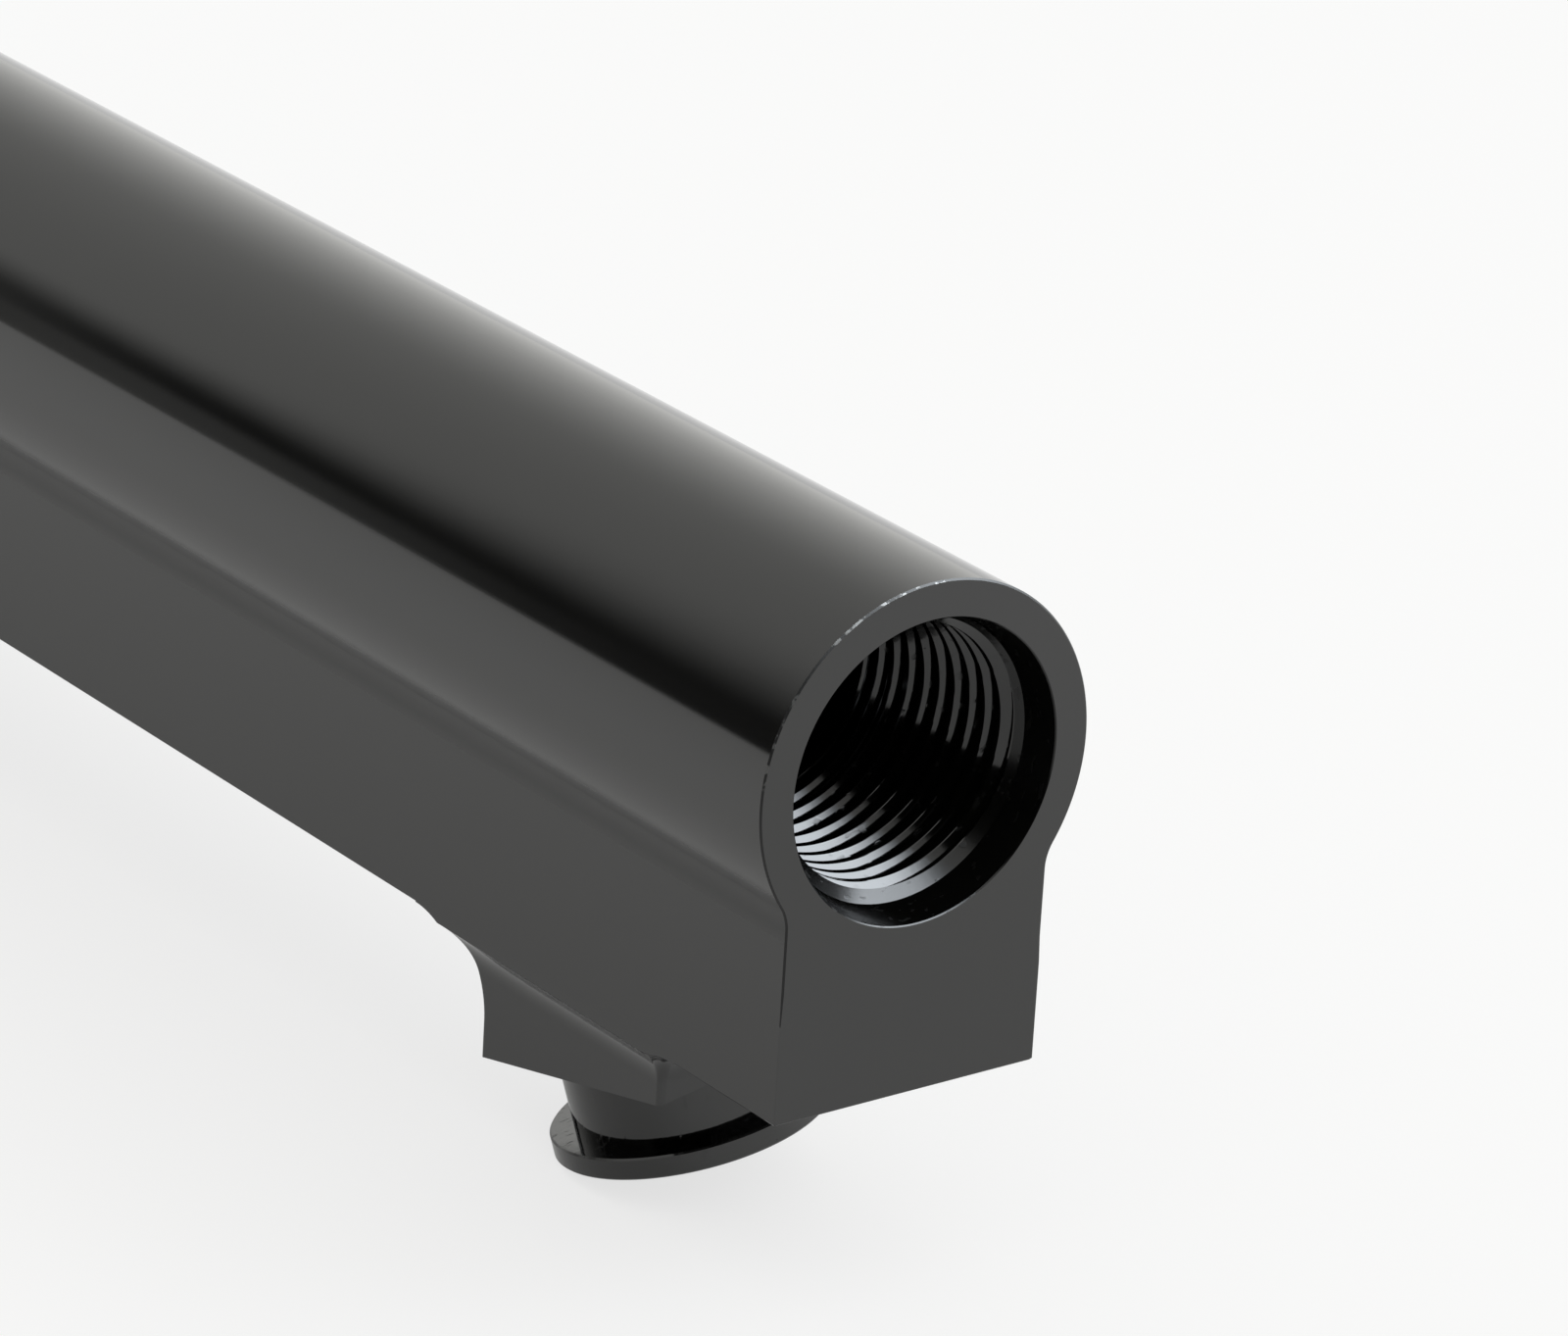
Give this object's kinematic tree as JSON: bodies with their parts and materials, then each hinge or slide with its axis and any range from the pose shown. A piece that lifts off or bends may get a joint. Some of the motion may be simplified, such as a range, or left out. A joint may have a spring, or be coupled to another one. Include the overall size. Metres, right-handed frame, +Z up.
{
  "type": "fuel rail",
  "caption": "Straight one-piece fuel rail: round passage over a flat foot, threaded O-ring ports at both ends and tilted flanged cups for injectors.",
  "frame": {"origin": "centre of the two bracket holes, on the flat underside of the rail's foot", "axes": "+X along the rail towards the port that the picture shows, +Y across it towards the side that the injectors lean to, +Z up from the foot to the round"},
  "size_m": [0.3824, 0.0254, 0.0483],
  "materials": {
    "black_anodised": "black anodised, satin, machined from an extruded bar"
  },
  "bodies": {
    "root": {"fuel_rail": "black_anodised"}
  },
  "joints": []
}
